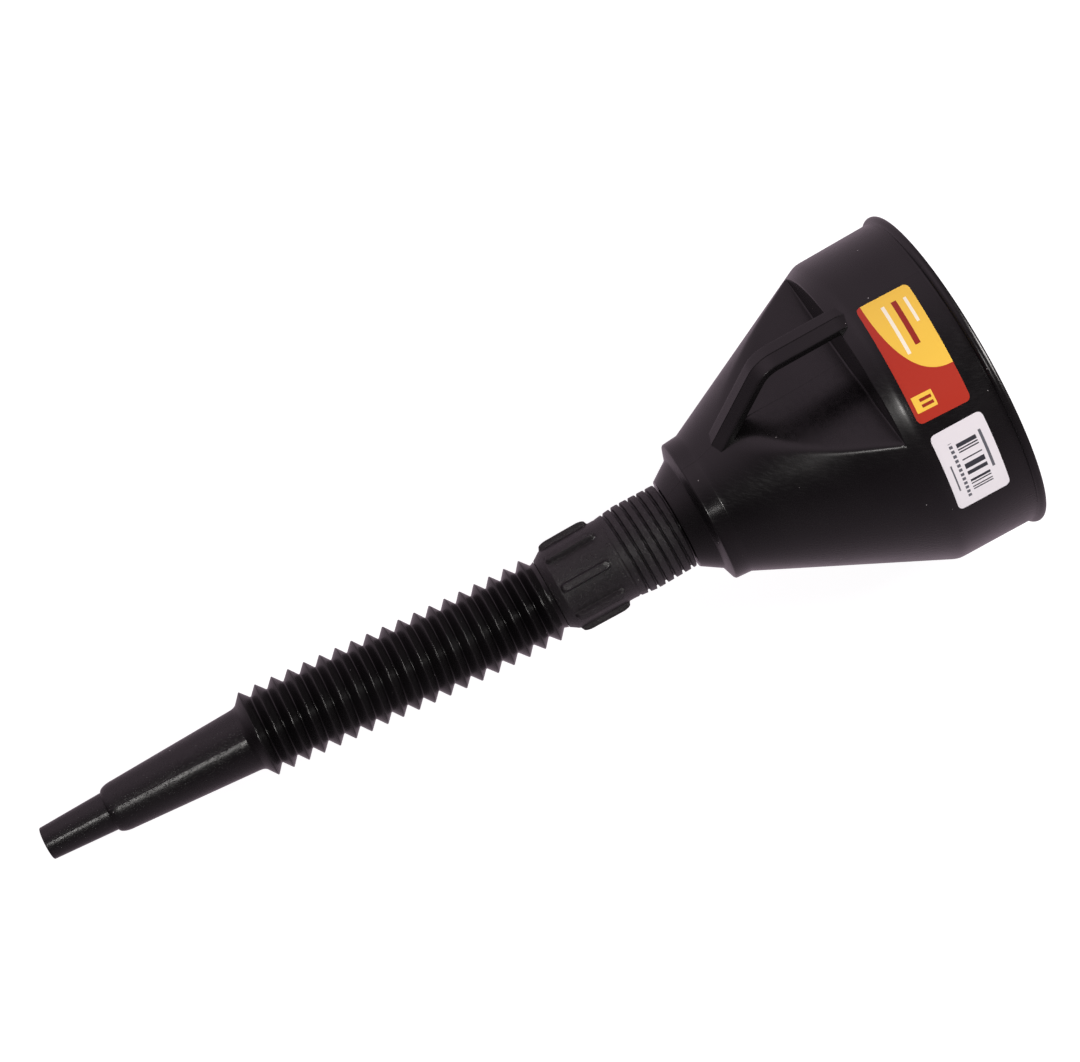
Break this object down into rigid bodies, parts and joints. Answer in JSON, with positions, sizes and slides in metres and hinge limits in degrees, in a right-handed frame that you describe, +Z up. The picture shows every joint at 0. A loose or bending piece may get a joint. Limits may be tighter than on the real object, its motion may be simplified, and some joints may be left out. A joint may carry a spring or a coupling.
{
  "type": "filler funnel",
  "caption": "Black plastic filler funnel: wide handled bowl, lift-out gauze strainer and a screw-on bellows spout that bends by hand and ends in a stepped nozzle.",
  "frame": {"origin": "on the ground under the middle of the funnel's bounding box, lying on its side", "axes": "+Z up through the handle, +X towards the mouth along the funnel's length, nozzle to -X; the funnel's axis slopes down 12.2 degrees towards the nozzle"},
  "size_m": [0.4794, 0.16, 0.1624],
  "materials": {
    "bowl_plastic": "satin",
    "spout_plastic": "satin",
    "printed_film": "gloss",
    "white_paper": "satin",
    "strainer_plastic": "satin",
    "brass_wire": "woven"
  },
  "bodies": {
    "bowl": {"bowl": "bowl_plastic", "front_label": "printed_film", "stock_label": "white_paper"},
    "strainer": {"strainer_ring": "strainer_plastic", "strainer_gauze": "brass_wire"},
    "spout_collar": {"spout_collar": "spout_plastic"},
    "bellows_ring_01": {"bellows_ring_01": "spout_plastic"},
    "bellows_ring_02": {"bellows_ring_02": "spout_plastic"},
    "bellows_ring_03": {"bellows_ring_03": "spout_plastic"},
    "bellows_ring_04": {"bellows_ring_04": "spout_plastic"},
    "bellows_ring_05": {"bellows_ring_05": "spout_plastic"},
    "bellows_ring_06": {"bellows_ring_06": "spout_plastic"},
    "bellows_ring_07": {"bellows_ring_07": "spout_plastic"},
    "bellows_ring_08": {"bellows_ring_08": "spout_plastic"},
    "bellows_ring_09": {"bellows_ring_09": "spout_plastic"},
    "bellows_ring_10": {"bellows_ring_10": "spout_plastic"},
    "bellows_ring_11": {"bellows_ring_11": "spout_plastic"},
    "bellows_ring_12": {"bellows_ring_12": "spout_plastic"},
    "bellows_ring_13": {"bellows_ring_13": "spout_plastic"},
    "bellows_ring_14": {"bellows_ring_14": "spout_plastic"},
    "bellows_ring_15": {"bellows_ring_15": "spout_plastic"},
    "bellows_ring_16": {"bellows_ring_16": "spout_plastic"},
    "bellows_ring_17": {"bellows_ring_17": "spout_plastic"},
    "bellows_ring_18": {"bellows_ring_18": "spout_plastic"},
    "bellows_ring_19": {"bellows_ring_19": "spout_plastic"},
    "nozzle": {"nozzle": "spout_plastic"}
  },
  "joints": [
    {"name": "strainer_lift", "type": "slide", "parent": "bowl", "child": "strainer", "axis": [0.9774, 0, 0.2112], "range_m": [0, 0.16]},
    {"name": "spout_draw_off", "type": "slide", "parent": "bowl", "child": "spout_collar", "axis": [-0.9774, 0, -0.2112], "range_m": [0, 0.05]},
    {"name": "bend_up_01", "type": "hinge", "parent": "spout_collar", "child": "bellows_ring_01", "pos_m": [0.01183, 0, 0.03886], "axis": [0.0002, 1, 0.0003], "range_deg": [-4.5, 4.5], "stiffness_Nm_per_rad": 4},
    {"name": "bend_side_01", "type": "hinge", "parent": "bellows_ring_01", "child": "bellows_ring_02", "pos_m": [0.00411, 0, 0.03735], "axis": [-0.1742, 0, 0.9847], "range_deg": [-4.5, 4.5], "stiffness_Nm_per_rad": 4},
    {"name": "bend_up_02", "type": "hinge", "parent": "bellows_ring_02", "child": "bellows_ring_03", "pos_m": [-0.00364, 0, 0.03598], "axis": [0.0002, 1, 0.0003], "range_deg": [-4.5, 4.5], "stiffness_Nm_per_rad": 4},
    {"name": "bend_side_02", "type": "hinge", "parent": "bellows_ring_03", "child": "bellows_ring_04", "pos_m": [-0.01141, 0, 0.03475], "axis": [-0.137, 0, 0.9906], "range_deg": [-4.5, 4.5], "stiffness_Nm_per_rad": 4},
    {"name": "bend_up_03", "type": "hinge", "parent": "bellows_ring_04", "child": "bellows_ring_05", "pos_m": [-0.01921, 0, 0.03367], "axis": [0.0002, 1, 0.0003], "range_deg": [-4.5, 4.5], "stiffness_Nm_per_rad": 4},
    {"name": "bend_side_03", "type": "hinge", "parent": "bellows_ring_05", "child": "bellows_ring_06", "pos_m": [-0.02702, 0, 0.03274], "axis": [-0.0996, 0, 0.995], "range_deg": [-4.5, 4.5], "stiffness_Nm_per_rad": 4},
    {"name": "bend_up_04", "type": "hinge", "parent": "bellows_ring_06", "child": "bellows_ring_07", "pos_m": [-0.03485, 0, 0.03196], "axis": [0.0002, 1, 0.0003], "range_deg": [-4.5, 4.5], "stiffness_Nm_per_rad": 4},
    {"name": "bend_side_04", "type": "hinge", "parent": "bellows_ring_07", "child": "bellows_ring_08", "pos_m": [-0.0427, 0, 0.03132], "axis": [-0.062, 0, 0.9981], "range_deg": [-4.5, 4.5], "stiffness_Nm_per_rad": 4},
    {"name": "bend_up_05", "type": "hinge", "parent": "bellows_ring_08", "child": "bellows_ring_09", "pos_m": [-0.05055, 0, 0.03083], "axis": [0.0002, 1, 0.0003], "range_deg": [-4.5, 4.5], "stiffness_Nm_per_rad": 4},
    {"name": "bend_side_05", "type": "hinge", "parent": "bellows_ring_09", "child": "bellows_ring_10", "pos_m": [-0.05841, 0, 0.03035], "axis": [-0.062, 0, 0.9981], "range_deg": [-4.5, 4.5], "stiffness_Nm_per_rad": 4},
    {"name": "bend_up_06", "type": "hinge", "parent": "bellows_ring_10", "child": "bellows_ring_11", "pos_m": [-0.06626, 0, 0.02986], "axis": [0.0002, 1, 0.0003], "range_deg": [-4.5, 4.5], "stiffness_Nm_per_rad": 4},
    {"name": "bend_side_06", "type": "hinge", "parent": "bellows_ring_11", "child": "bellows_ring_12", "pos_m": [-0.07412, 0, 0.02937], "axis": [-0.062, 0, 0.9981], "range_deg": [-4.5, 4.5], "stiffness_Nm_per_rad": 4},
    {"name": "bend_up_07", "type": "hinge", "parent": "bellows_ring_12", "child": "bellows_ring_13", "pos_m": [-0.08197, 0, 0.02888], "axis": [0.0002, 1, 0.0003], "range_deg": [-4.5, 4.5], "stiffness_Nm_per_rad": 4},
    {"name": "bend_side_07", "type": "hinge", "parent": "bellows_ring_13", "child": "bellows_ring_14", "pos_m": [-0.08983, 0, 0.02839], "axis": [-0.062, 0, 0.9981], "range_deg": [-4.5, 4.5], "stiffness_Nm_per_rad": 4},
    {"name": "bend_up_08", "type": "hinge", "parent": "bellows_ring_14", "child": "bellows_ring_15", "pos_m": [-0.09768, 0, 0.02791], "axis": [0.0002, 1, 0.0003], "range_deg": [-4.5, 4.5], "stiffness_Nm_per_rad": 4},
    {"name": "bend_side_08", "type": "hinge", "parent": "bellows_ring_15", "child": "bellows_ring_16", "pos_m": [-0.10554, 0, 0.02742], "axis": [-0.062, 0, 0.9981], "range_deg": [-4.5, 4.5], "stiffness_Nm_per_rad": 4},
    {"name": "bend_up_09", "type": "hinge", "parent": "bellows_ring_16", "child": "bellows_ring_17", "pos_m": [-0.11339, 0, 0.02693], "axis": [0.0002, 1, 0.0003], "range_deg": [-4.5, 4.5], "stiffness_Nm_per_rad": 4},
    {"name": "bend_side_09", "type": "hinge", "parent": "bellows_ring_17", "child": "bellows_ring_18", "pos_m": [-0.12123, 0, 0.02625], "axis": [-0.1116, 0, 0.9938], "range_deg": [-4.5, 4.5], "stiffness_Nm_per_rad": 4},
    {"name": "bend_up_10", "type": "hinge", "parent": "bellows_ring_18", "child": "bellows_ring_19", "pos_m": [-0.12905, 0, 0.02537], "axis": [0.0002, 1, 0.0003], "range_deg": [-4.5, 4.5], "stiffness_Nm_per_rad": 4},
    {"name": "bend_side_10", "type": "hinge", "parent": "bellows_ring_19", "child": "nozzle", "pos_m": [-0.13685, 0, 0.0243], "axis": [-0.1608, 0, 0.987], "range_deg": [-4.5, 4.5], "stiffness_Nm_per_rad": 4}
  ],
  "couplings": [
    {"joint": "bend_up_02", "follows": "bend_up_01", "ratio": 1},
    {"joint": "bend_side_02", "follows": "bend_side_01", "ratio": 1},
    {"joint": "bend_up_03", "follows": "bend_up_01", "ratio": 1},
    {"joint": "bend_side_03", "follows": "bend_side_01", "ratio": 1},
    {"joint": "bend_up_04", "follows": "bend_up_01", "ratio": 1},
    {"joint": "bend_side_04", "follows": "bend_side_01", "ratio": 1},
    {"joint": "bend_up_05", "follows": "bend_up_01", "ratio": 1},
    {"joint": "bend_side_05", "follows": "bend_side_01", "ratio": 1},
    {"joint": "bend_up_06", "follows": "bend_up_01", "ratio": 1},
    {"joint": "bend_side_06", "follows": "bend_side_01", "ratio": 1},
    {"joint": "bend_up_07", "follows": "bend_up_01", "ratio": 1},
    {"joint": "bend_side_07", "follows": "bend_side_01", "ratio": 1},
    {"joint": "bend_up_08", "follows": "bend_up_01", "ratio": 1},
    {"joint": "bend_side_08", "follows": "bend_side_01", "ratio": 1},
    {"joint": "bend_up_09", "follows": "bend_up_01", "ratio": 1},
    {"joint": "bend_side_09", "follows": "bend_side_01", "ratio": 1},
    {"joint": "bend_up_10", "follows": "bend_up_01", "ratio": 1},
    {"joint": "bend_side_10", "follows": "bend_side_01", "ratio": 1}
  ]
}
